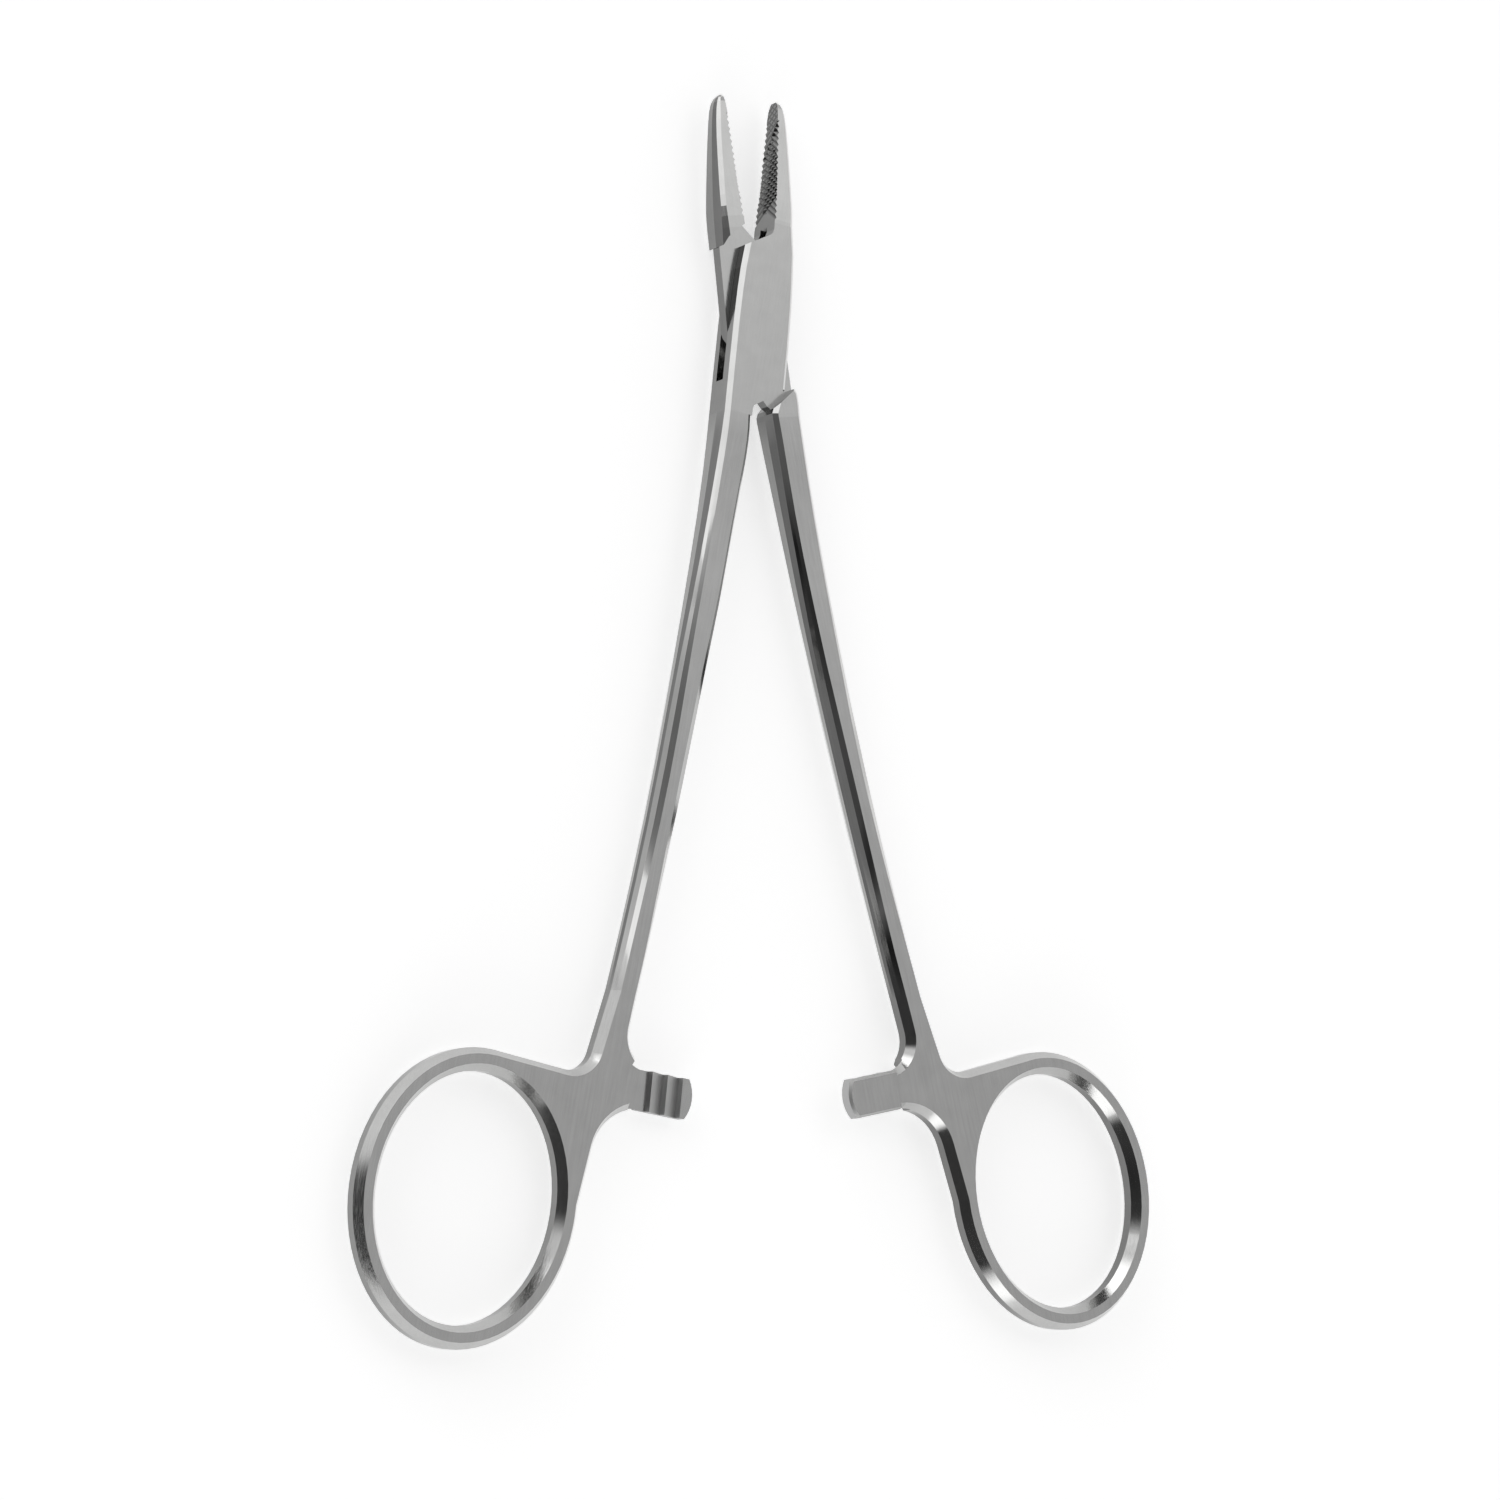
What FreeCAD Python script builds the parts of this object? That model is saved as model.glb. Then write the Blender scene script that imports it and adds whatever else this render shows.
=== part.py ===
import FreeCAD, Part
import math
import os
import Sketcher

# Box-lock needle holder, open, lying flat: X across, Y towards the jaws, Z up through the thickness.
# The origin is on the pivot axis, at the level of the box lock's rear face.

os.makedirs("parts", exist_ok=True)
doc = FreeCAD.newDocument("NeedleHolder")

sizes = [
    ("restAngle", 7.6, "half the opening angle at rest"),
    ("boxThick", 4.6, "thickness of the box lock"),
    ("boxHalf", 3.88, "half width of the box lock"),
    ("boxTop", 11.0, "upper end of the box plates on the midline"),
    ("boxFoot", 9.75, "lower end of the box plates on the midline"),
    ("boxBevel", 0.5, "bevel along the box lock"),
    ("boxShift", 0.3, "how far the box lock sits off the pivot, away from its own shank"),
    ("slotFloor", 1.42, "height of the slot above the rear face"),
    ("tongueThick", 1.44, "thickness of the tongue"),
    ("slotPlay", 0.03, "running gap above and below the tongue"),
    ("pinRadius", 1.6, "radius of the pivot pin"),
    ("pinPlay", 0.05, "radial running gap of the pin"),
    ("jawRoot", 12.6, "where the jaws start"),
    ("jawEnd", 27.85, "end of the jaws"),
    ("jawWidth", 2.74, "width of a jaw at its root"),
    ("jawTipWidth", 1.18, "width of a jaw near its tip"),
    ("jawTipThick", 2.4, "thickness of a jaw near its tip"),
    ("jawBevel", 0.46, "bevel along the outside of a jaw"),
    ("jawFaceRoot", 0.42, "set-back of the jaw face at its root"),
    ("jawFaceTip", 0.03, "set-back of the jaw face at its tip"),
    ("gripPitch", 0.72, "pitch of the grip grooves along the jaw"),
    ("gripDepth", 0.22, "depth of the grip grooves"),
    ("gripAngle", 33.0, "slope of the grip grooves"),
    ("gripStart", 14.4, "where the grip pattern starts on the midline"),
    ("shankTop", 11.0, "where the shank leaves the box lock"),
    ("shankEnd", 80.0, "where the shank runs into the ring web"),
    ("shankTopWidth", 3.74, "width of the shank at the box lock"),
    ("shankWaistWidth", 3.25, "width of the shank at its slimmest"),
    ("shankEndWidth", 3.4, "width of the shank at the web"),
    ("shankWaistThick", 3.45, "thickness of the shank at its slimmest"),
    ("shankTopMid", 1.99, "distance of the shank's midline at the box lock"),
    ("shankEndMid", 8.63, "distance of the shank's midline at the web"),
    ("shankBow", 0.92, "outward bow of the shank"),
    ("shankCrown", 0.06, "crown of the shank's sides"),
    ("ringThick", 3.6, "thickness of the rings, webs and ratchet arms together"),
    ("ringAcross", 25.6, "distance of the ring's centre from the midline"),
    ("ringBelow", 105.3, "distance of the ring's centre below the pivot"),
    ("ringLong", 14.0, "half length of the finger hole"),
    ("ringWide", 11.13, "half width of the finger hole"),
    ("ringBand", 2.6, "width of the ring's band"),
    ("ringTilt", 4.8, "lean of the ring's long axis"),
    ("rimRun", 0.75, "bevel of ring and web measured on the face"),
    ("rimFall", 1.15, "bevel of ring and web measured down the side"),
    ("armTop", 88.05, "upper edge of the ratchet arms below the pivot"),
    ("armHeight", 4.6, "height of the ratchet arms"),
    ("armPast", 1.93, "reach of the ratchet arms past the midline"),
    ("armEndRadius", 4.2, "radius of the arms' ends"),
    ("armDrop", 0.5, "how far the arms' ends hang below their roots"),
    ("armBevel", 0.3, "bevel along the ratchet arms"),
    ("toothPitch", 2.0, "pitch of the ratchet teeth"),
    ("toothDepth", 0.75, "depth of the ratchet teeth"),
    ("toothPad", 1.4, "plain pad before the first tooth"),
    ("toothFlank", 0.25, "run of the teeth's locking flank"),
    ("toothPlay", 0.05, "gap between each arm's teeth and the middle plane"),
    ("stepRadius", 4.5, "radius of the step behind the teeth"),
    ("stepAcross", 3.25, "distance of the step's centre from the midline"),
]
toothCount = 3

sheet = doc.addObject("Spreadsheet::Sheet", "Sizes")
for row, (alias, number, note) in enumerate(sizes, start=1):
    sheet.set("A" + str(row), note)
    sheet.set("B" + str(row), str(number))
    sheet.setAlias("B" + str(row), alias)
doc.recompute()


class Size:
    """A number that carries the sheet expression it comes from."""

    def __init__(self, text, number):
        self.text = text
        self.number = number

    def __add__(self, other):
        other = size(other)
        return Size("(" + self.text + " + " + other.text + ")", self.number + other.number)

    def __sub__(self, other):
        other = size(other)
        return Size("(" + self.text + " - " + other.text + ")", self.number - other.number)

    def __mul__(self, other):
        other = size(other)
        return Size("(" + self.text + " * " + other.text + ")", self.number * other.number)

    def __rmul__(self, other):
        return self * other

    def __radd__(self, other):
        return self + other

    def __rsub__(self, other):
        return size(other) - self

    def __neg__(self):
        return self * -1


def size(value):
    if isinstance(value, Size):
        return value
    if isinstance(value, str):
        return Size("Sizes." + value, float(sheet.get(value)))
    return Size("(" + repr(float(value)) + ")", float(value))


S = {alias: size(alias) for alias, number, note in sizes}
half = 0.5
middle = S["boxThick"] * half


def bind(item, prop, value):
    value = size(value)
    item.setExpression(prop, value.text)


def outline(name, points):
    """A closed sketch of straight lines whose corners are bound to the sheet."""
    sketch = doc.addObject("Sketcher::SketchObject", name)
    pairs = [(size(x), size(y)) for x, y in points]
    for index, (x, y) in enumerate(pairs):
        following = pairs[(index + 1) % len(pairs)]
        start = FreeCAD.Vector(x.number, y.number, 0)
        end = FreeCAD.Vector(following[0].number, following[1].number, 0)
        sketch.addGeometry(Part.LineSegment(start, end), False)
    count = len(pairs)
    for index in range(count):
        sketch.addConstraint(Sketcher.Constraint("Coincident", index, 2, (index + 1) % count, 1))
    for index, (x, y) in enumerate(pairs):
        across = sketch.addConstraint(Sketcher.Constraint("DistanceX", -1, 1, index, 1, x.number))
        sketch.setExpression("Constraints[" + str(across) + "]", x.text)
        along = sketch.addConstraint(Sketcher.Constraint("DistanceY", -1, 1, index, 1, y.number))
        sketch.setExpression("Constraints[" + str(along) + "]", y.text)
    return sketch


def extrude(name, base, low, high):
    """A solid raised from a closed profile, from one height to another."""
    bind(base, ".Placement.Base.z", low)
    solid = doc.addObject("Part::Extrusion", name)
    solid.Base = base
    solid.DirMode = "Custom"
    solid.Dir = FreeCAD.Vector(0, 0, 1)
    solid.Solid = True
    bind(solid, "LengthFwd", size(high) - size(low))
    return solid


def plate(name, points, low, high):
    return extrude(name, outline(name + "Outline", points), low, high)


def fuse(name, parts):
    joined = doc.addObject("Part::MultiFuse", name)
    joined.Shapes = parts
    joined.Refine = True
    return joined


def cut(name, base, tool):
    result = doc.addObject("Part::Cut", name)
    result.Base = base
    result.Tool = tool
    result.Refine = True
    return result


def common(name, first, second):
    result = doc.addObject("Part::MultiCommon", name)
    result.Shapes = [first, second]
    return result


def bevel(name, base, run, fall, wanted):
    """Bevels the accepted edges of flat faces; run lies on the face, fall down the side."""
    doc.recompute()
    shape = base.Shape
    top = shape.BoundBox.ZMax
    bottom = shape.BoundBox.ZMin
    picked = []
    for index, edge in enumerate(shape.Edges, start=1):
        box = edge.BoundBox
        level = max(abs(box.ZMin - top), abs(box.ZMax - top))
        floor = max(abs(box.ZMin - bottom), abs(box.ZMax - bottom))
        if min(level, floor) < 1e-4 and wanted(edge):
            faces = shape.ancestorsOfType(edge, Part.Face)
            flat = abs(faces[0].normalAt(*faces[0].Surface.parameter(edge.CenterOfMass))[2]) > 0.9
            sizes12 = (run, fall) if flat else (fall, run)
            picked.append((index, sizes12[0], sizes12[1]))
    result = doc.addObject("Part::Chamfer", name)
    result.Base = base
    result.Edges = picked
    return result


def roundCorners(name, base, spots):
    """Rounds the upright edges that stand at the given places."""
    doc.recompute()
    picked = []
    for index, edge in enumerate(base.Shape.Edges, start=1):
        box = edge.BoundBox
        upright = box.XLength < 1e-4 and box.YLength < 1e-4
        for x, y, radius in spots:
            away = (edge.CenterOfMass.x - size(x).number, edge.CenterOfMass.y - size(y).number)
            if upright and math.hypot(away[0], away[1]) < 0.01:
                picked.append((index, radius, radius))
    result = doc.addObject("Part::Fillet", name)
    result.Base = base
    result.Edges = picked
    return result


def along(points, side):
    return [(side * size(x), size(y)) for x, y in points]


def section(name, y, points):
    """A closed profile standing across the Y axis, its corners given as (across, up)."""
    sketch = outline(name, points)
    turned = FreeCAD.Rotation(FreeCAD.Vector(1, 0, 0), 90)
    sketch.Placement = FreeCAD.Placement(FreeCAD.Vector(0, 0, 0), turned)
    bind(sketch, ".Placement.Base.y", y)
    return sketch


def loft(name, sections, ruled):
    body = doc.addObject("Part::Loft", name)
    body.Sections = sections
    body.Solid = True
    body.Ruled = ruled
    return body


def shankProfile(side, mid, width, thick, run, fall, swell, crown):
    """Fourteen corners: flat front and rear, two facets on each bevel, crowned sides."""
    edge = width * half
    top = thick * half
    bulge = 0.5 - 0.207 * swell
    right = [
        (edge - run, top),
        (edge - run * bulge, top - fall * bulge),
        (edge, top - fall),
        (edge + crown, size(0)),
        (edge, fall - top),
        (edge - run * bulge, fall * bulge - top),
        (edge - run, -top),
    ]
    left = [(-across, up) for across, up in reversed(right)]
    return [(side * (mid + across), middle + up) for across, up in right + left]


def blend(first, last, share):
    return first + (last - first) * share


def makeShank(side, name, shift):
    """A shank; shift moves its upper end across, towards the other half."""
    stations = []
    # share of the length, width share, thickness share, bevel run, bevel fall, swell of the bevel, shift share
    rows = [
        (0.0, 0.0, 0.0, 0.5, 0.5, 0.0, 1.0),
        (0.05, 0.1, 0.16, 0.54, 0.54, 0.0, 1.15),
        (0.135, 0.22, 0.58, 0.56, 0.56, 0.1, 1.1),
        (0.25, 0.3, 0.85, 0.63, 0.63, 0.3, 0.8),
        (0.42, 0.44, 0.95, 0.8, 0.96, 0.7, 0.15),
        (0.56, 0.75, 1.0, 0.96, 1.08, 0.9, 0.0),
        (0.71, 1.0, 1.0, 0.93, 1.1, 0.8, 0.0),
        (0.86, 0.9, 0.96, 0.78, 1.12, 0.4, 0.0),
    ]
    length = S["shankEnd"] - S["shankTop"]
    for number, (share, slim, thin, run, fall, swell, moved) in enumerate(rows):
        y = -(S["shankTop"] + length * share)
        bow = S["shankBow"] * (4 * share * (1 - share))
        mid = blend(S["shankTopMid"], S["shankEndMid"], share) - bow
        width = blend(S["shankTopWidth"], S["shankWaistWidth"], slim)
        thick = blend(S["boxThick"], S["shankWaistThick"], thin)
        crown = S["shankCrown"] * (1.0 if share > 0 else 0.0)
        if share == 0.0:
            mid = mid - shift * half
            width = width - shift
        else:
            mid = mid - shift * moved
        points = shankProfile(side, mid, width, thick, size(run), size(fall), swell, crown)
        stations.append(section(name + "Section" + str(number), y, points))
    last = (S["shankEndMid"], S["shankEndWidth"], S["ringThick"], S["rimRun"], S["rimFall"])
    points = shankProfile(side, last[0], last[1], last[2], last[3], last[4], 0.0, size(0))
    stations.append(section(name + "SectionEnd", -S["shankEnd"], points))
    return loft(name, stations, False)


def faceAt(y):
    """Set-back of the jaw face from the midline at a height along the jaw."""
    span = S["jawEnd"] - S["jawRoot"]
    slope = (S["jawFaceTip"].number - S["jawFaceRoot"].number) / span.number
    return S["jawFaceRoot"] + (y - S["jawRoot"]) * slope


def makeJaw(side, name):
    length = S["jawEnd"] - S["jawRoot"]
    # share of the length, width share, thickness share, bevel share
    rows = [
        (-0.24, -0.08, 0.0, 1.6),
        (-0.06, -0.03, 0.0, 1.3),
        (0.03, 0.01, 0.03, 1.15),
        (0.11, 0.06, 0.10, 1.0),
        (0.20, 0.13, 0.20, 1.0),
        (0.32, 0.25, 0.34, 1.0),
        (0.48, 0.42, 0.53, 0.95),
        (0.66, 0.63, 0.74, 0.9),
        (0.80, 0.83, 0.88, 0.85),
        (0.89, 1.0, 1.0, 0.75),
        (0.945, 1.17, 1.14, 0.6),
        (0.98, 1.38, 1.36, 0.4),
        (1.0, 1.6, 1.62, 0.2),
    ]
    stations = []
    for number, (share, slim, thin, soft) in enumerate(rows):
        y = S["jawRoot"] + length * share
        inner = faceAt(y)
        outer = inner + blend(S["jawWidth"], S["jawTipWidth"], slim)
        top = blend(S["boxThick"], S["jawTipThick"], thin) * half
        edge = S["jawBevel"] * soft
        corners = [
            (inner, top),
            (outer - edge, top),
            (outer, top - edge),
            (outer + S["jawBevel"] * 0.06, size(0)),
            (outer, edge - top),
            (outer - edge, -top),
            (inner, -top),
        ]
        points = [(side * across, middle + up) for across, up in corners]
        stations.append(section(name + "Section" + str(number), y, points))
    return loft(name, stations, True)


def makeGrip(side, name, lean):
    """The comb that cuts one family of slanting grooves into a jaw face."""
    angle = math.radians(S["gripAngle"].number)
    step = S["gripPitch"] * math.cos(angle)
    reach = S["jawEnd"].number - S["gripStart"].number + 3.0
    count = int(reach / S["gripPitch"].number)
    points = []
    for index in range(count):
        points.append((step * index, size(0.015)))
        points.append((step * (index + 0.5), -S["gripDepth"]))
    points.append((step * count, size(0.015)))
    points.append((step * count, size(1.0)))
    points.append((size(0), size(1.0)))
    base = outline(name + "Outline", points)
    comb = doc.addObject("Part::Extrusion", name)
    comb.Base = base
    comb.DirMode = "Normal"
    comb.Solid = True
    comb.LengthFwd = 5.0
    comb.LengthRev = 5.0
    rise = S["jawFaceTip"].number - S["jawFaceRoot"].number
    slope = rise / (S["jawEnd"].number - S["jawRoot"].number)
    lengthwise = FreeCAD.Vector(side * slope, 1, 0).normalize()
    up = FreeCAD.Vector(0, 0, 1)
    outward = FreeCAD.Vector(-side * lengthwise.y, side * lengthwise.x, 0)
    groove = (lengthwise * math.sin(angle) * lean + up * math.cos(angle)) * side
    across = lengthwise * math.cos(angle) - up * math.sin(angle) * lean
    rotation = FreeCAD.Rotation(across, outward, groove, "ZXY")
    start = FreeCAD.Vector(side * faceAt(S["gripStart"]).number, S["gripStart"].number, middle.number)
    base.Placement = FreeCAD.Placement(start, rotation)
    return comb


def armSag(across):
    """How far an arm's edge has dropped at a distance from the midline."""
    start = S["shankEndMid"].number
    share = 1.0 / (start + S["armPast"].number)
    return S["armDrop"] * ((start - size(across).number) * share)


def makeRing(side, name):
    """The finger ring and the web that joins it to shank and ratchet arm."""
    low = middle - S["ringThick"] * half
    high = middle + S["ringThick"] * half
    centre = (S["ringAcross"], -S["ringBelow"])
    upright = FreeCAD.Placement(FreeCAD.Vector(0, 0, 0), FreeCAD.Rotation(FreeCAD.Vector(0, 0, 1), 90))

    def ellipses(title, levels):
        """A body through ellipses at several heights, each grown by its own margin."""
        curves = []
        for number, (height, grow) in enumerate(levels):
            curve = doc.addObject("Part::Ellipse", title + "Curve" + str(number))
            bind(curve, "MajorRadius", S["ringLong"] + grow)
            bind(curve, "MinorRadius", S["ringWide"] + grow)
            curve.Placement = upright
            bind(curve, ".Placement.Base.x", side * centre[0])
            bind(curve, ".Placement.Base.y", centre[1])
            bind(curve, ".Placement.Base.z", height)
            bind(curve, ".Placement.Rotation.Angle", 90 + side * S["ringTilt"])
            curves.append(curve)
        return loft(title, curves, True)

    band = S["ringBand"]
    run = S["rimRun"]
    fall = S["rimFall"]
    outside = [(low, band - run), (low + fall, band), (high - fall, band), (high, band - run)]
    rim = ellipses(name + "Rim", outside)
    spread = size(run.number * (1 + 1 / fall.number))
    inside = [(low - 1, spread), (low + fall, 0), (high - fall, 0), (high + 1, spread)]
    hole = ellipses(name + "Hole", inside)
    edge = S["shankEndWidth"] * half
    inner = S["shankEndMid"] - edge
    outer = S["shankEndMid"] + edge
    top = -S["shankEnd"]
    armTop = -S["armTop"]
    armLow = armTop - S["armHeight"]
    stub = inner - 3.1
    crotch = (inner + 1.1, armTop)
    flare = (inner + 2.95, armLow)
    dip = (outer + 2.17, armTop - 1.9)
    crest = (S["ringAcross"] - 1.6, -S["ringBelow"] + S["ringLong"] + S["ringBand"] - 0.09)
    flank = (S["ringAcross"] - S["ringWide"] - S["ringBand"] + 0.03, -S["ringBelow"] + 0.4)
    sag = armSag(stub)
    stubTop = (stub, armTop - sag)
    stubLow = (stub, armLow - sag)
    corners = [(inner, top), crotch, stubTop, stubLow, flare, flank, centre, crest, dip, (outer, top)]
    blank = plate(name + "Web", along(corners, side), low, high)
    spots = [crotch + (3.7,), flare + (6.0,), dip + (3.0,)]
    web = roundCorners(name + "Rounded", blank, [(side * x, y, radius) for x, y, radius in spots])
    plain = [((inner + outer) * half, top), (stub, (armTop + armLow) * half - sag)]
    plain = plain + [((flank[0] + centre[0]) * half, (flank[1] + centre[1]) * half)]
    plain = plain + [((crest[0] + centre[0]) * half, (crest[1] + centre[1]) * half)]

    def wanted(part):
        x = part.CenterOfMass.x
        y = part.CenterOfMass.y
        return all(math.hypot(x - side * spot[0].number, y - spot[1].number) > 0.3 for spot in plain)

    shaped = bevel(name + "Shaped", web, run.number, fall.number, wanted)
    return cut(name, fuse(name + "Whole", [rim, shaped]), hole)


def makeArm(side, name):
    """One ratchet arm, reaching across the midline; its teeth face the other arm."""
    low = middle - S["ringThick"] * half
    high = middle + S["ringThick"] * half
    root = S["shankEndMid"] - S["shankEndWidth"] * half - 2.0
    tip = -S["armPast"]
    top = -S["armTop"]
    bottom = top - S["armHeight"]
    near = armSag(root)
    far = armSag(tip)
    corners = [(root, top - near), (tip, top - far), (tip, bottom - far), (root, bottom - near)]
    blank = plate(name + "Blank", along(corners, side), low, high)
    nose = doc.addObject("Part::Cylinder", name + "Nose")
    bind(nose, "Radius", S["armEndRadius"])
    bind(nose, "Height", S["ringThick"] + 2)
    bind(nose, ".Placement.Base.x", side * (tip + S["armEndRadius"]))
    bind(nose, ".Placement.Base.y", top - S["armHeight"] * half - armSag(tip + S["armEndRadius"]))
    bind(nose, ".Placement.Base.z", low - 1)
    shaped = common(name + "Shaped", blank, nose)
    limit = side * root.number

    def wanted(part):
        return abs(part.CenterOfMass.x - limit) > 0.3

    return bevel(name, shaped, S["armBevel"].number, S["armBevel"].number, wanted)


def makeTeeth(side, name, up):
    """The cutter that frees half the thickness of an arm and leaves the ratchet teeth."""
    tip = -S["armPast"]
    land = middle - S["toothPlay"] * up
    valley = land - S["toothDepth"] * up
    far = middle + (S["ringThick"] * half + 1) * up
    points = [(tip - 1, far), (tip - 1, land)]
    for index in range(toothCount):
        ridge = tip + S["toothPad"] + S["toothPitch"] * index
        points.append((ridge, land))
        points.append((ridge + S["toothFlank"], valley))
    end = S["stepAcross"] + S["stepRadius"] + 0.5
    points.append((end, valley))
    points.append((end, far))
    base = section(name + "Outline", -(S["armTop"] - 2.3), along(points, side))
    comb = doc.addObject("Part::Extrusion", name + "Comb")
    comb.Base = base
    comb.DirMode = "Custom"
    comb.Dir = FreeCAD.Vector(0, -1, 0)
    comb.Solid = True
    bind(comb, "LengthFwd", S["armHeight"] + 4.6)
    round = doc.addObject("Part::Cylinder", name + "Round")
    bind(round, "Radius", S["stepRadius"])
    bind(round, "Height", S["boxThick"] + 2)
    bind(round, ".Placement.Base.x", side * S["stepAcross"])
    bind(round, ".Placement.Base.y", -(S["armTop"] + S["armHeight"] * half) + 0.15)
    round.Placement.Base.z = -1
    free = doc.addObject("Part::Box", name + "Free")
    bind(free, "Length", S["stepAcross"] + S["armPast"] + 1)
    bind(free, "Width", S["armHeight"] + 4.6)
    bind(free, "Height", S["boxThick"] + 2)
    if side > 0:
        bind(free, ".Placement.Base.x", -(S["armPast"] + 1))
    else:
        bind(free, ".Placement.Base.x", -S["stepAcross"])
    bind(free, ".Placement.Base.y", -(S["armTop"] + S["armHeight"] + 2.3))
    free.Placement.Base.z = -1
    return common(name, comb, fuse(name + "Reach", [round, free]))


def makeBore(name, radius):
    bore = doc.addObject("Part::Cylinder", name)
    bind(bore, "Radius", radius)
    bind(bore, "Height", S["boxThick"] + 2)
    bore.Placement.Base.z = -1
    return bore


wide = S["boxHalf"]
footTop = -S["boxFoot"]
slotLow = S["slotFloor"]
slotHigh = S["slotFloor"] + S["tongueThick"] + S["slotPlay"] * 2


def makeBoxHalf():
    """The outer half: box lock with its slot, right jaw, left shank, ring and ratchet arm."""
    side = -1
    under = -S["shankTop"]
    near = wide - S["boxShift"]
    away = wide + S["boxShift"]
    corners = [
        (near - 0.02, under), (near - 0.02, -6), (near - 0.06, 0), (near - 0.16, 3.8), (near - 0.3, 6.4),
        (near - 0.6, S["boxTop"] - 1.8), (0.05, S["boxTop"]), (-0.28, S["boxTop"] + 0.3),
        (-faceAt(S["boxTop"] + 0.8), S["boxTop"] + 0.8), (-S["jawFaceRoot"], S["jawRoot"]),
        (-(S["jawFaceRoot"] + S["jawWidth"]), S["jawRoot"]), (0.52 - away, 9.4), (0.3 - away, 6.5),
        (0.12 - away, 3), (0.02 - away, -2), (-away, footTop + 2.8), (0, footTop),
        (0.12, footTop - 0.5), (0.12, under),
    ]
    block = plate("BoxBlock", along(corners, side), size(0), S["boxThick"])
    limit = wide.number

    def wanted(part):
        box = part.BoundBox
        x = side * part.CenterOfMass.x
        y = part.CenterOfMass.y
        lengthwise = box.YLength > 1.2 * box.XLength
        outside = x > limit - 1.4 and y < 9.5
        inside = x < -1.8
        return lengthwise and (outside or inside)

    sides = bevel("BoxBevelled", block, S["boxBevel"].number, S["boxBevel"].number, wanted)
    jaw = makeJaw(1, "BoxJaw")
    shank = makeShank(side, "BoxShank", S["boxShift"])
    ring = makeRing(side, "BoxRing")
    arm = makeArm(side, "BoxArm")
    solid = fuse("BoxSolid", [sides, jaw, shank, ring, arm])
    teeth = makeTeeth(side, "BoxTeeth", 1)
    toothed = cut("BoxToothed", solid, teeth)
    window = [
        (wide + 0.8, -6.4), (-0.6, footTop + 0.09), (-0.8 - away, footTop + 0.09),
        (-0.8 - away, S["jawRoot"] - 4.5), (-0.15, S["jawRoot"] + 0.05), (wide + 0.8, S["jawRoot"] + 0.05),
    ]
    slot = plate("BoxSlot", along(window, side), slotLow, slotHigh)
    slotted = cut("BoxSlotted", toothed, slot)
    bored = cut("BoxBored", slotted, makeBore("BoxBore", S["pinRadius"]))
    gripOne = cut("BoxGripOne", bored, makeGrip(1, "BoxCombOne", 1))
    return cut("BoxGripTwo", gripOne, makeGrip(1, "BoxCombTwo", -1))


def makeTongueHalf():
    """The inner half: tongue through the slot, left jaw, right shank, ring and ratchet arm."""
    side = 1
    under = -S["shankTop"]
    jaw = makeJaw(-1, "TongueJaw")
    shoulder = [
        (-7, 5), (4, 5), (4, 13.5), (0.4, 12.45), (-0.05, 12.2),
        (-1.36, 11.55), (-2.74, 10.64), (-3.3, 9.75), (-7, 8),
    ]
    clear = plate("TongueClear", along(shoulder, 1), size(-1), S["boxThick"] + 1)
    jawCut = cut("TongueJawCut", jaw, clear)
    corners = [
        (wide - 0.02, under), (wide + 0.07, -9.5), (wide + 0.02, -8.2), (wide - 0.28, footTop + 2.1),
        (0.38, footTop - 0.1), (0.12, footTop - 0.65), (0.12, under),
    ]
    block = plate("TongueBlock", along(corners, side), size(0), S["boxThick"])

    def wanted(part):
        box = part.BoundBox
        return box.YLength > 1.6 * box.XLength

    sides = bevel("TongueBevelled", block, S["boxBevel"].number, S["boxBevel"].number, wanted)
    low = S["slotFloor"] + S["slotPlay"]
    strip = [
        (wide + 0.07, footTop + 1.6), (wide + 0.07, 0), (wide - 0.05, 6), (wide - 0.3, 8.4),
        (1.5, 10.65), (0.42, 11.95), (-0.2, 12.6), (-1.4, 12.3), (-3.2, 11.0), (0.55 - wide, 9.0),
        (0.33 - wide, 4), (0.13 - wide, 0), (0.13 - wide, -1), (0.4 - wide, -2.6), (1.0 - wide, -4.2),
        (1.9 - wide, -5.8), (3.0 - wide, -7.5), (0.3, footTop + 0.36), (1.5, footTop - 0.6),
    ]
    tongue = plate("Tongue", along(strip, side), low, low + S["tongueThick"])
    shank = makeShank(side, "TongueShank", size(0))
    ring = makeRing(side, "TongueRing")
    arm = makeArm(side, "TongueArm")
    solid = fuse("TongueSolid", [sides, jawCut, tongue, shank, ring, arm])
    teeth = makeTeeth(side, "TongueTeeth", -1)
    toothed = cut("TongueToothed", solid, teeth)
    bore = makeBore("TongueBore", S["pinRadius"] + S["pinPlay"])
    bored = cut("TongueBored", toothed, bore)
    gripOne = cut("TongueGripOne", bored, makeGrip(-1, "TongueCombOne", 1))
    return cut("TongueGripTwo", gripOne, makeGrip(-1, "TongueCombTwo", -1))


boxHalf = makeBoxHalf()
boxHalf.Label = "box_half"
tongueHalf = makeTongueHalf()
tongueHalf.Label = "tongue_half"
pin = doc.addObject("Part::Cylinder", "Pin")
bind(pin, "Radius", S["pinRadius"])
bind(pin, "Height", S["boxThick"])
pin.Label = "pivot_pin"
doc.recompute()

# the halves are drawn closed and opened to the rest pose about the pivot
for piece, turn in ((boxHalf, -1), (tongueHalf, 1)):
    turned = FreeCAD.Rotation(FreeCAD.Vector(0, 0, 1), 1)
    piece.Placement = FreeCAD.Placement(FreeCAD.Vector(0, 0, 0), turned)
    bind(piece, ".Placement.Rotation.Angle", turn * S["restAngle"])
doc.recompute()

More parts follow.
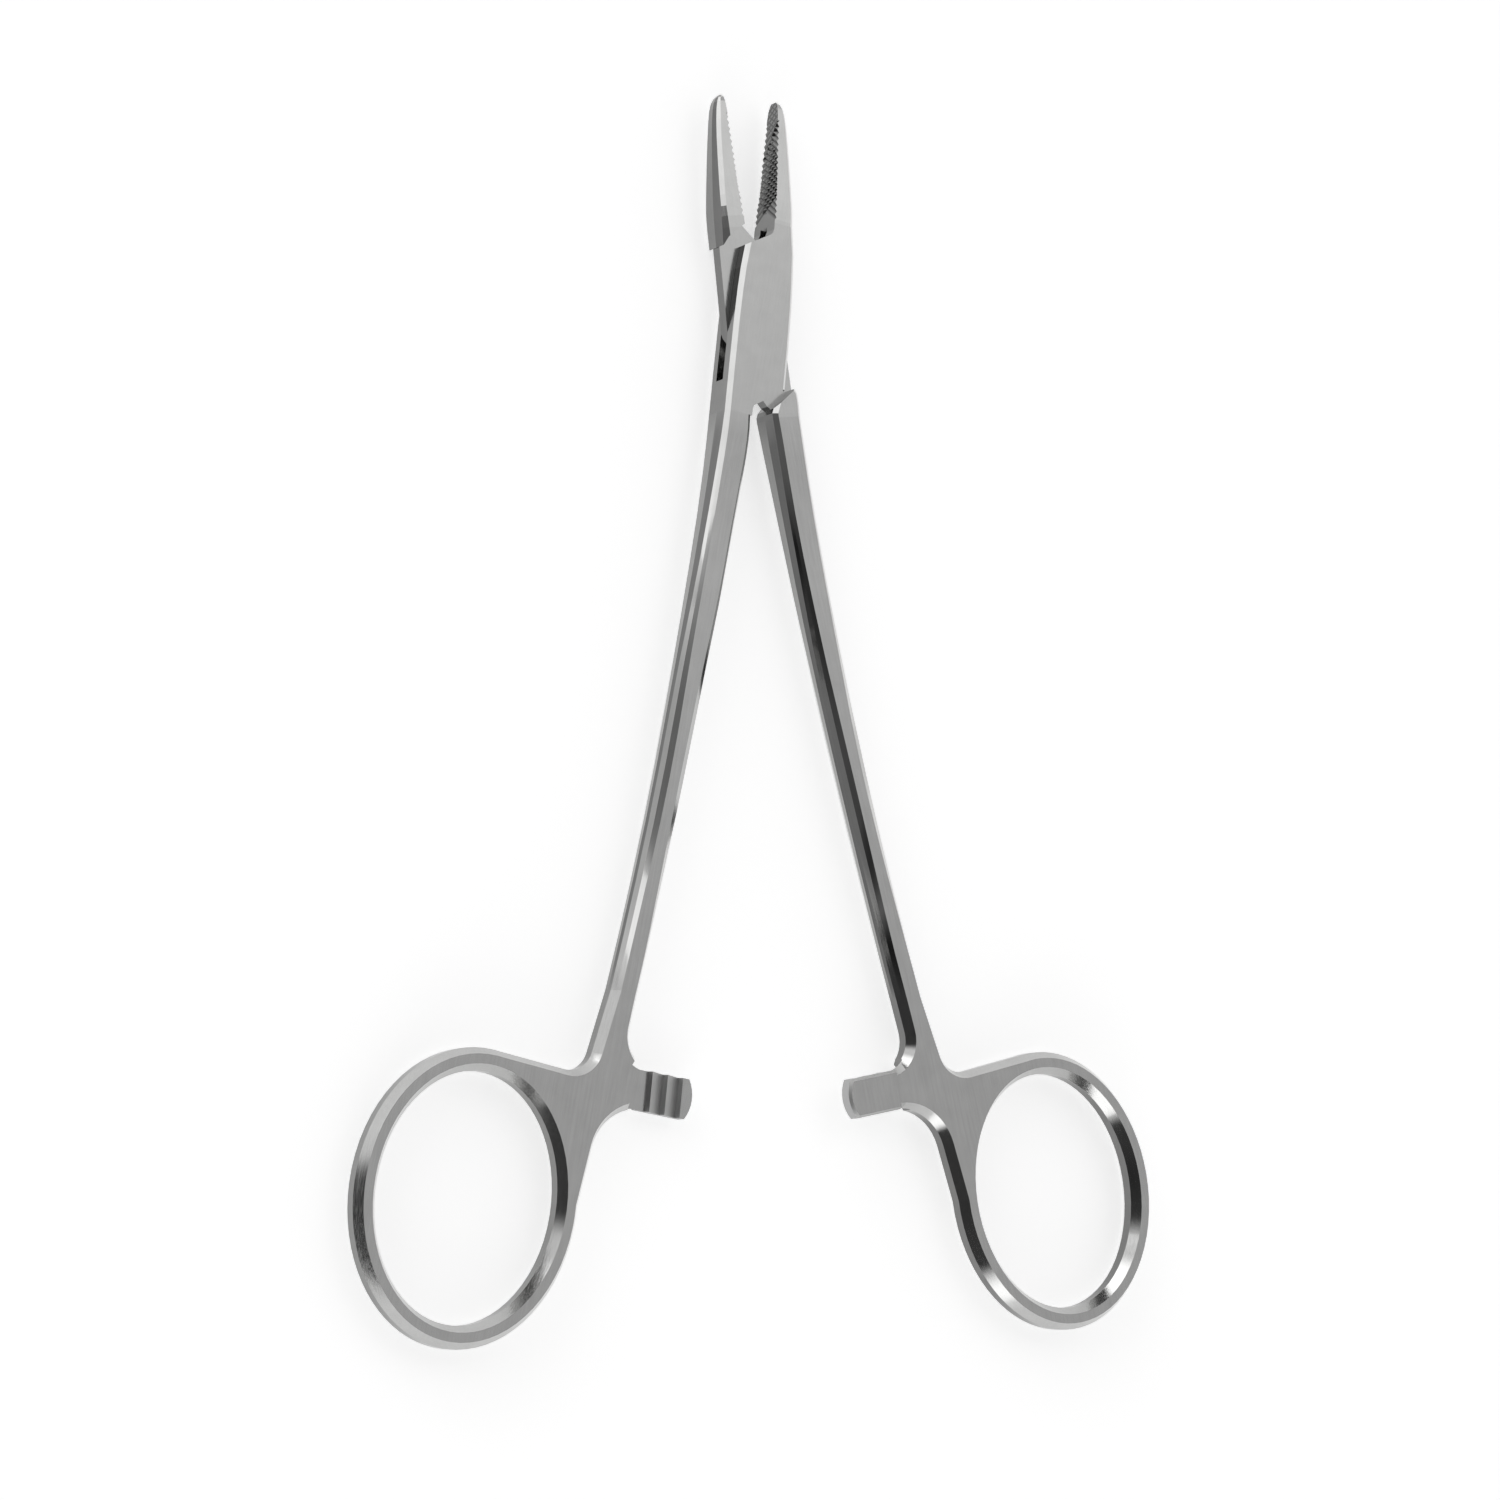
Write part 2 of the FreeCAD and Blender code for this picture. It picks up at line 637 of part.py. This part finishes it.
faults = [item.Name for item in doc.Objects if "Invalid" in item.State or "Error" in item.State]
if faults:
    raise SystemExit("failed objects: " + ", ".join(faults))
for piece in (boxHalf, tongueHalf, pin):
    shape = piece.Shape
    if shape.isNull() or not shape.isValid() or len(shape.Solids) != 1:
        raise SystemExit("bad shape: " + piece.Label + " solids " + str(len(shape.Solids)))
for piece in (boxHalf, tongueHalf, pin):
    piece.Shape.exportStep("parts/" + piece.Label + ".step")
    box = piece.Shape.BoundBox
    print(piece.Label, "volume", round(piece.Shape.Volume, 1), "faces", len(piece.Shape.Faces))
    print("   x", round(box.XMin, 2), round(box.XMax, 2))
    print("   y", round(box.YMin, 2), round(box.YMax, 2))
    print("   z", round(box.ZMin, 2), round(box.ZMax, 2))
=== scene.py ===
import bpy
import math
from mathutils import Matrix, Vector

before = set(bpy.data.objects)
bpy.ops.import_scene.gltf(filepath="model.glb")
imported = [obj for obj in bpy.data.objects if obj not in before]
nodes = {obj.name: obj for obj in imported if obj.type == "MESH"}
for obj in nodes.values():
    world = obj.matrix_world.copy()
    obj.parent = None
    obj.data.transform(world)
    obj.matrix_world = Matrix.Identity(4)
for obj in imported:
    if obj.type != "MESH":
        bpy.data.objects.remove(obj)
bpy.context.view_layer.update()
print("frame loaded", sorted(nodes))


def clearSelection():
    for item in bpy.context.selected_objects:
        item.select_set(False)


def addNode(tree, kind, x, y, **values):
    node = tree.nodes.new(kind)
    node.location = (x, y)
    for key, value in values.items():
        setattr(node, key, value)
    return node


def feed(tree, socket, value):
    # another node's output is linked, anything else is the socket's own value
    if isinstance(value, bpy.types.NodeSocket):
        tree.links.new(value, socket)
    else:
        socket.default_value = value


def addMath(tree, operation, x, y, *values):
    node = addNode(tree, "ShaderNodeMath", x, y, operation=operation)
    for socket, value in zip(node.inputs, values):
        feed(tree, socket, value)
    return node.outputs["Value"]


def addVectorMath(tree, operation, x, y, *values):
    node = addNode(tree, "ShaderNodeVectorMath", x, y, operation=operation)
    for socket, value in zip(node.inputs, values):
        feed(tree, socket, value)
    return node.outputs["Value" if operation == "DOT_PRODUCT" else "Vector"]


def addScaled(tree, x, y, colour, share):
    node = addNode(tree, "ShaderNodeVectorMath", x, y, operation="SCALE")
    feed(tree, node.inputs["Vector"], colour)
    feed(tree, node.inputs["Scale"], share)
    return node.outputs["Vector"]


def addRange(tree, x, y, value, source, target, kind="LINEAR"):
    # takes the span source to the span target and holds its ends
    node = addNode(tree, "ShaderNodeMapRange", x, y, interpolation_type=kind)
    spans = zip(("From Min", "From Max", "To Min", "To Max"), (*source, *target))
    for socket, limit in spans:
        node.inputs[socket].default_value = limit
    feed(tree, node.inputs["Value"], value)
    return node.outputs["Result"]


def addRamp(tree, x, y, slope, steps, warmth):
    # steps give a level for each slope from -1 (down) to 1 (up)
    ramp = addNode(tree, "ShaderNodeValToRGB", x, y)
    stops = ramp.color_ramp.elements
    while len(stops) < len(steps):
        stops.new(0.5)
    for stop, (where, level) in zip(stops, steps):
        stop.position = (where + 1) / 2
        stop.color = (level, level, level * warmth, 1)
    feed(tree, ramp.inputs["Fac"], slope)
    return ramp.outputs["Color"]


# satin steel with shade painted on by slope, the same on both halves and the pin but for the
# tongue half's sides, where the painted shade is deeper
steelFinishAndShade = {
    # tone of the steel with painted shade by how far a surface faces up: upright sides and
    # steep bevels are painted darker as shade
    "toneWithPaintedShadeBySlope": [
        (-1.0, 0.56), (-0.35, 0.50), (-0.10, 0.42), (-0.02, 0.30), (0.04, 0.17), (0.25, 0.15),
        (0.42, 0.36), (0.55, 0.50), (0.72, 0.60), (0.86, 0.62), (1.0, 0.60),
    ],
    "warmth": 0.99,                  # blue of the steel beside its red and green
    # roughness by the same slope: the bevels are polished
    "roughBySlope": [
        (-1.0, 0.17), (0.20, 0.17), (0.35, 0.10), (0.92, 0.10), (0.98, 0.17), (1.0, 0.19),
    ],
    "roughnessSpread": 0.03,         # how much the grain adds to it and takes away
    "grainFine": 5200.0,             # scratches per metre across the grain
    "grainLong": 160.0,              # and along it
    "grainDetail": 3.0,
    "grainSpan": (0.3, 0.7),         # where the grain's noise mostly lies
    "mottle": 420.0,                 # size of the faint clouds in the finish
    "mottleDetail": 4.0,
    "mottleSpan": (0.6, 1.4),        # where grain and clouds together mostly lie
    "mottleDepth": 0.06,
    "bump": 0.07,
    "bumpHeight": 0.00002,
}

# the tongue's half has deeper painted shade on the sides of its shank and on its steep bevels
tongueFinishAndShade = dict(steelFinishAndShade)
tongueFinishAndShade["toneWithPaintedShadeBySlope"] = [
    (-1.0, 0.56), (-0.35, 0.50), (-0.10, 0.42), (-0.02, 0.26), (0.03, 0.13), (0.25, 0.12),
    (0.41, 0.13), (0.50, 0.46), (0.72, 0.60), (0.86, 0.62), (1.0, 0.60),
]


def makeSatinSteel(name, grainTurn, finishAndShade, faceNormal):
    # faceNormal is where the half's grip face looks, None for a piece without a jaw
    material = bpy.data.materials.new(name)
    material.use_nodes = True
    tree = material.node_tree
    tree.nodes.clear()
    link = tree.links.new
    output = addNode(tree, "ShaderNodeOutputMaterial", 1200, 0)
    steel = addNode(tree, "ShaderNodeBsdfPrincipled", 900, 0)
    steel.inputs["Metallic"].default_value = 1.0
    link(steel.outputs["BSDF"], output.inputs["Surface"])

    # fine scratches along the piece, and faint clouds
    place = addNode(tree, "ShaderNodeTexCoord", -1200, 0)
    turn = addNode(tree, "ShaderNodeMapping", -1000, 100)
    turn.inputs["Rotation"].default_value = (0, 0, -grainTurn)
    link(place.outputs["Object"], turn.inputs["Vector"])
    stretch = addNode(tree, "ShaderNodeMapping", -800, 100)
    across, lengthwise = finishAndShade["grainFine"], finishAndShade["grainLong"]
    stretch.inputs["Scale"].default_value = (across, lengthwise, across)
    link(turn.outputs["Vector"], stretch.inputs["Vector"])
    grain = addNode(tree, "ShaderNodeTexNoise", -600, 100)
    grain.inputs["Scale"].default_value = 1.0
    grain.inputs["Detail"].default_value = finishAndShade["grainDetail"]
    link(stretch.outputs["Vector"], grain.inputs["Vector"])
    cloud = addNode(tree, "ShaderNodeTexNoise", -600, -150)
    cloud.inputs["Scale"].default_value = finishAndShade["mottle"]
    cloud.inputs["Detail"].default_value = finishAndShade["mottleDetail"]
    link(place.outputs["Object"], cloud.inputs["Vector"])

    # how far the surface faces up, and whether it is a slope of a ratchet arm
    shape = addNode(tree, "ShaderNodeNewGeometry", -600, 400)
    split = addNode(tree, "ShaderNodeSeparateXYZ", -420, 400)
    link(shape.outputs["Normal"], split.inputs["Vector"])
    slope = addRange(tree, -260, 400, split.outputs["Z"], (-1.0, 1.0), (0.0, 1.0))
    arm = addArmShare(tree, place, split.outputs["Z"])

    # colour: painted shade by slope, lifted on the arms, then clouds and grain
    tone = addRamp(tree, -80, 400, slope, finishAndShade["toneWithPaintedShadeBySlope"], finishAndShade["warmth"])
    armTone = addMath(tree, "MULTIPLY", 0, 700, arm, armLook["tone"])
    paler = addVectorMath(tree, "MAXIMUM", 200, 500, tone, armTone)
    both = addMath(tree, "ADD", -380, 0, grain.outputs["Fac"], cloud.outputs["Fac"])
    depth = finishAndShade["mottleDepth"]
    shade = addRange(tree, -200, 0, both, finishAndShade["mottleSpan"], (1.0 - depth, 1.0 + depth))
    paint = addScaled(tree, 320, 300, paler, shade)

    # roughness: by slope, more on the arms, then grain
    spread = finishAndShade["roughnessSpread"]
    noise = grain.outputs["Fac"]
    streaks = addRange(tree, -200, -250, noise, finishAndShade["grainSpan"], (-spread, spread))
    base = addRamp(tree, -80, -500, slope, finishAndShade["roughBySlope"], 1.0)
    armRough = addMath(tree, "MULTIPLY", 0, -700, arm, armLook["roughness"])
    rougher = addMath(tree, "MAXIMUM", 200, -500, base, armRough)
    rough = addMath(tree, "ADD", 320, -250, streaks, rougher)
    link(rough, steel.inputs["Roughness"])

    bump = addNode(tree, "ShaderNodeBump", 600, -300)
    bump.inputs["Strength"].default_value = finishAndShade["bump"]
    bump.inputs["Distance"].default_value = finishAndShade["bumpHeight"]
    link(grain.outputs["Fac"], bump.inputs["Height"])
    if faceNormal is not None:
        relief, hollow = addGripPattern(tree, place, faceNormal)
        knurl = addNode(tree, "ShaderNodeBump", 400, -600)
        knurl.inputs["Strength"].default_value = 1.0
        knurl.inputs["Distance"].default_value = gripLook["relief"]
        link(relief, knurl.inputs["Height"])
        link(knurl.outputs["Normal"], bump.inputs["Normal"])
        # painted shade: the deeper in a hollow of the grip a spot lies, the darker its colour
        # is painted
        darker = addRange(tree, 200, -1100, hollow, (0.0, 1.0), (1.0, 1.0 - gripLook["shade"]))
        paint = addScaled(tree, 500, 300, paint, darker)
    link(paint, steel.inputs["Base Color"])
    link(bump.outputs["Normal"], steel.inputs["Normal"])
    return material


# the slopes of the ratchet arms are left as milled, and the painted shade by slope is lifted to
# at least their tone there: metres, on the part at rest
armLook = {
    "reach": 0.0178,                 # the arms lie this near the midline
    "top": -0.0800,                  # and below this
    "flatFrom": 0.97,                # a face that looks up as squarely as this is polished
    "roughness": 0.50,
    "tone": 0.46,
}


def addArmShare(tree, place, normalUp):
    # 1 on the slopes of the ratchet arms, 0 elsewhere
    where = addNode(tree, "ShaderNodeSeparateXYZ", -1000, -1900)
    tree.links.new(place.outputs["Object"], where.inputs["Vector"])
    aside = addMath(tree, "ABSOLUTE", -800, -1900, where.outputs["X"])
    near = addMath(tree, "LESS_THAN", -600, -1900, aside, armLook["reach"])
    low = addMath(tree, "LESS_THAN", -600, -2100, where.outputs["Y"], armLook["top"])
    upright = addMath(tree, "ABSOLUTE", -800, -2300, normalUp)
    sloping = addMath(tree, "LESS_THAN", -600, -2300, upright, armLook["flatFrom"])
    onArm = addMath(tree, "MULTIPLY", -400, -1900, near, low)
    return addMath(tree, "MULTIPLY", -200, -1900, onArm, sloping)


# grip of the jaws: painted shade in the hollows, and the pattern carried on where the faces are
# plain; metres
gripLook = {
    "patternStart": 0.0140,          # the carried-on pattern lies beyond this
    "pitch": 0.00072,
    "angle": 33.0,                   # degrees that the grooves lean to either side
    "relief": 0.00020,
    "squarely": 0.995,               # how squarely a plain spot looks along the face's normal
    "shade": 0.72,                   # how much darker the painted shade makes a hollow
    "plane": -0.000742,              # where the faces lie along their own normal
    "grooves": 0.00025,              # depth of the grooves that are cut in the solid
    "grooveStart": 0.0130,
    "grooveLean": (0.31, 0.99),      # how squarely the grooves' flanks look along it
}


def addGripPattern(tree, place, faceNormal):
    # bump height of the carried-on pattern, and how deep in a hollow a spot lies, which is
    # painted as shade
    where = addNode(tree, "ShaderNodeSeparateXYZ", -1000, -900)
    tree.links.new(place.outputs["Object"], where.inputs["Vector"])
    up = Vector((0, 0, 1))
    forward = Vector((-faceNormal.y, faceNormal.x, 0)) * (1 if faceNormal.x > 0 else -1)
    angle = math.radians(gripLook["angle"])
    step = gripLook["pitch"] * math.cos(angle)
    waves = []
    for row, side in enumerate((1, -1)):
        level = -900 - 200 * row
        across = forward * math.cos(angle) - up * math.sin(angle) * side
        along = addVectorMath(tree, "DOT_PRODUCT", -800, level, place.outputs["Object"], across)
        waves.append(addMath(tree, "PINGPONG", -600, level, along, step / 2))
    lower = addMath(tree, "MINIMUM", -400, -900, *waves)
    height = addMath(tree, "MULTIPLY", -200, -900, lower, 2 / step)

    # the plain part of the face
    facing = addVectorMath(
        tree, "DOT_PRODUCT", -800, -1400, place.outputs["Normal"], faceNormal)
    plain = addMath(tree, "GREATER_THAN", -600, -1400, facing, gripLook["squarely"])
    start = gripLook["patternStart"]
    beyond = addMath(tree, "GREATER_THAN", -600, -1600, where.outputs["Y"], start)
    there = addMath(tree, "MULTIPLY", -400, -1400, plain, beyond)
    relief = addMath(tree, "MULTIPLY", 0, -900, height, there)
    hollow = addMath(tree, "SUBTRACT", 0, -1100, there, relief)

    # the cut grooves: how deep a spot on their flanks lies below the face
    outwards = addVectorMath(
        tree, "DOT_PRODUCT", -800, -2600, place.outputs["Object"], faceNormal)
    face, floorOfGroove = gripLook["plane"], gripLook["plane"] - gripLook["grooves"]
    sunk = addRange(tree, -600, -2600, outwards, (face, floorOfGroove), (0.0, 1.0))
    least, most = gripLook["grooveLean"]
    leaning = addMath(
        tree, "COMPARE", -600, -2900, facing, (least + most) / 2, (most - least) / 2)
    root = gripLook["grooveStart"]
    onJaw = addMath(tree, "GREATER_THAN", -600, -3100, where.outputs["Y"], root)
    flank = addMath(tree, "MULTIPLY", -400, -2900, leaning, onJaw)
    groove = addMath(tree, "MULTIPLY", -200, -2600, sunk, flank)
    return relief, addMath(tree, "MAXIMUM", 100, -1100, hollow, groove)


halfLook = {
    "restTurn": math.radians(7.6),   # each half stands open by this much
    "grainTurn": 1.6,                # the grain follows the shank, which leans this much more
    "faceLean": math.atan(0.39 / 15.25),     # the jaw faces close in towards the tips
}


def gripFacing(side):
    # where a jaw's grip face looks; side is 1 for the right jaw
    turn = halfLook["restTurn"] - halfLook["faceLean"]
    return Vector((-side * math.cos(turn), math.sin(turn), 0))


shankTurn = halfLook["restTurn"] * halfLook["grainTurn"]
pieceFinish = {
    "box_half": makeSatinSteel("satinSteelBoxHalf", -shankTurn, steelFinishAndShade, gripFacing(1)),
    "tongue_half": makeSatinSteel(
        "satinSteelTongueHalf", shankTurn, tongueFinishAndShade, gripFacing(-1)),
    "pivot_pin": makeSatinSteel("satinSteelPin", -halfLook["restTurn"], steelFinishAndShade, None),
}
for name, material in pieceFinish.items():
    for slot in nodes[name].material_slots:
        slot.material = material
print("steel on every node")


floorLook = {
    "size": 8.0,
    "below": 0.00005,                # gap under the part
    "colour": 0.80,
    "lift": 0.60,                    # what the camera and reflections see added to reach white
}


def makePaleFloor(look):
    paint = bpy.data.materials.new("paleFloor")
    paint.use_nodes = True
    tree = paint.node_tree
    tree.nodes.clear()
    link = tree.links.new
    output = addNode(tree, "ShaderNodeOutputMaterial", 600, 0)
    matt = addNode(tree, "ShaderNodeBsdfDiffuse", 0, 100)
    matt.inputs["Color"].default_value = (look["colour"],) * 3 + (1.0,)
    rays = addNode(tree, "ShaderNodeLightPath", -600, -100)
    straight, glossy = rays.outputs["Is Camera Ray"], rays.outputs["Is Glossy Ray"]
    seen = addMath(tree, "MAXIMUM", -400, -100, straight, glossy)
    through = addMath(tree, "MAXIMUM", -200, -100, seen, rays.outputs["Is Transmission Ray"])
    level = addMath(tree, "MULTIPLY", 0, -100, through, look["lift"])
    glow = addNode(tree, "ShaderNodeEmission", 200, -100)
    link(level, glow.inputs["Strength"])
    both = addNode(tree, "ShaderNodeAddShader", 400, 0)
    link(matt.outputs["BSDF"], both.inputs[0])
    link(glow.outputs["Emission"], both.inputs[1])
    link(both.outputs["Shader"], output.inputs["Surface"])
    return paint


clearSelection()
bpy.ops.mesh.primitive_plane_add(size=floorLook["size"], location=(0, 0, -floorLook["below"]))
floor = bpy.context.object
floor.name = "floor"
floor.data.materials.append(makePaleFloor(floorLook))

studioLook = {
    # the room around the table: pale walls, a greyer ceiling, dark where the camera stands
    "ceiling": 0.60,
    "wall": 1.05,
    "wallTop": 0.55,                 # sine of the elevation at which the ceiling starts
    "squash": 1.6,                   # the dark places are that much wider than high
    # towards, angle of the full patch, angle where it has faded out, share of light taken away
    "darkPlaces": [
        ((-0.956, -0.292, 0.0), 32.0, 47.0, 0.92),
        ((-0.74, -0.22, 0.80), 14.0, 34.0, 0.70),
        ((-0.46, -0.04, 1.30), 6.0, 26.0, 0.80),
    ],
    # towards, the same two angles, what it adds to the light
    "brightPlaces": [
        ((-0.74, 0.56, 0.36), 8.0, 26.0, 0.35),
        ((-0.38, 0.92, 0.06), 8.0, 30.0, 1.9),
        ((-0.22, -0.97, 0.06), 8.0, 30.0, 1.6),
        ((0.42, 0.50, 0.76), 4.0, 26.0, 0.55),
    ],
}


def addPatch(tree, direction, where, full, gone, target, row):
    # target's second value in the patch's middle, its first outside, and soft between
    level = -200 * row
    middle = Vector(where).normalized()
    near = addVectorMath(tree, "DOT_PRODUCT", -600, level, direction, middle)
    edges = (math.cos(math.radians(gone)), math.cos(math.radians(full)))
    return addRange(tree, -400, level, near, edges, target, "SMOOTHSTEP")


def makeStudio(look):
    world = bpy.data.worlds.new("studio")
    world.use_nodes = True
    tree = world.node_tree
    tree.nodes.clear()
    link = tree.links.new
    output = addNode(tree, "ShaderNodeOutputWorld", 2000, 0)
    room = addNode(tree, "ShaderNodeBackground", 1800, 0)
    link(room.outputs["Background"], output.inputs["Surface"])
    place = addNode(tree, "ShaderNodeTexCoord", -1000, 0)
    towards = addVectorMath(tree, "NORMALIZE", -800, 0, place.outputs["Generated"])
    raised = addVectorMath(tree, "MULTIPLY", -800, -200, towards, (1.0, 1.0, look["squash"]))
    squashed = addVectorMath(tree, "NORMALIZE", -700, -200, raised)
    split = addNode(tree, "ShaderNodeSeparateXYZ", -600, 200)
    link(towards, split.inputs["Vector"])
    walls, tones = (0.0, look["wallTop"]), (look["wall"], look["ceiling"])
    light = addRange(tree, -400, 200, split.outputs["Z"], walls, tones, "SMOOTHSTEP")
    row = 1
    for where, full, gone, taken in look["darkPlaces"]:
        share = addPatch(tree, squashed, where, full, gone, (1.0, 1.0 - taken), row)
        light = addMath(tree, "MULTIPLY", 200 * row, 0, light, share)
        row += 1
    for where, full, gone, added in look["brightPlaces"]:
        share = addPatch(tree, towards, where, full, gone, (0.0, added), row)
        light = addMath(tree, "ADD", 200 * row, 0, light, share)
        row += 1
    link(light, room.inputs["Strength"])
    return world


bpy.context.scene.world = makeStudio(studioLook)

lamps = {
    # direction to the lamp, distance, width, height, watts
    "leftSoftbox": ((-0.76, 0.50, 0.42), 0.9, 0.40, 0.40, 0.25),
    "frontPanel": ((-0.20, -0.94, 0.26), 1.0, 0.7, 0.3, 0.5),
}
middleOfPart = Vector((0, -0.045, 0.0))
for name, (direction, distance, width, height, watts) in lamps.items():
    data = bpy.data.lights.new(name, "AREA")
    data.shape = "RECTANGLE"
    data.size = width
    data.size_y = height
    data.energy = watts
    lamp = bpy.data.objects.new(name, data)
    bpy.context.scene.collection.objects.link(lamp)
    towards = Vector(direction).normalized()
    lamp.location = middleOfPart + towards * distance
    lamp.rotation_euler = towards.to_track_quat("Z", "Y").to_euler()

photoView = {
    "place": (-0.2525, -0.1080, 0.4144),
    "right": (0.85511, -0.02077, 0.51803),
    "forward": (0.51655, 0.11962, -0.84786),
    "lens": 100.8,
    "sensor": 36.0,
}
data = bpy.data.cameras.new("photoView")
data.lens = photoView["lens"]
data.sensor_width = photoView["sensor"]
camera = bpy.data.objects.new("photoView", data)
bpy.context.scene.collection.objects.link(camera)
right = Vector(photoView["right"]).normalized()
back = -Vector(photoView["forward"]).normalized()
up = back.cross(right).normalized()
turned = Matrix((right, up, back)).transposed().to_4x4()
camera.matrix_world = Matrix.Translation(Vector(photoView["place"])) @ turned
bpy.context.scene.camera = camera
bpy.context.scene.view_settings.view_transform = "Standard"
print("stage, lamps and camera set")
